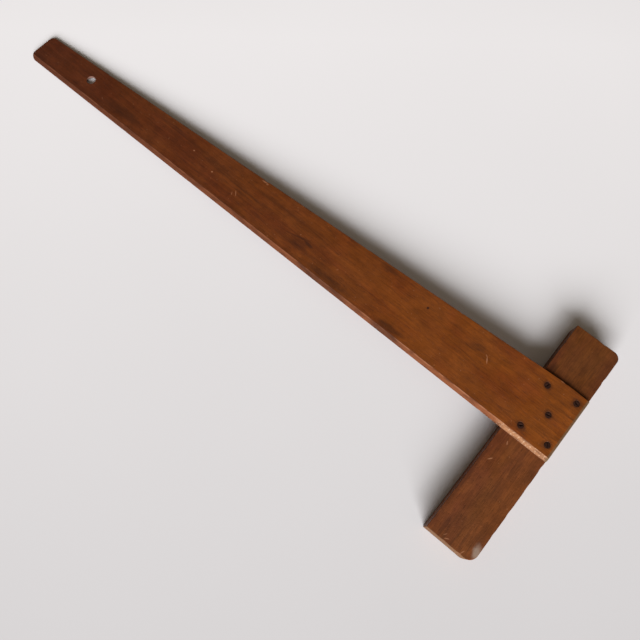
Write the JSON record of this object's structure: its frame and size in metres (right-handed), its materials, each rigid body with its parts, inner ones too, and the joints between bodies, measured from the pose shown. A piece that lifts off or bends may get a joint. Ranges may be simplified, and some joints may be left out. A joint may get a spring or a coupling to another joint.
{
  "type": "t square",
  "caption": "Wooden T-square: a tapered blade with one bevelled edge, laid on a thick head and held by countersunk screws, with a hanging hole.",
  "frame": {"origin": "on the head's guide face, where it meets the blade's working edge and the blade's underside, which is the drawing board's surface", "axes": "+X along the blade to its tip and square to the guide face, +Y out of the blade's working edge, +Z out of the blade's top"},
  "size_m": [0.6989, 0.2491, 0.0254],
  "materials": {
    "blade_wood": "aged oil-varnished mahogany, satin",
    "head_wood": "aged oil-varnished mahogany, satin",
    "screw_iron": "dark oxidised iron"
  },
  "bodies": {
    "root": {"blade": "blade_wood", "head_stock": "head_wood", "wood_screw_one": "screw_iron", "wood_screw_two": "screw_iron", "wood_screw_three": "screw_iron", "wood_screw_four": "screw_iron", "wood_screw_five": "screw_iron"}
  },
  "joints": []
}
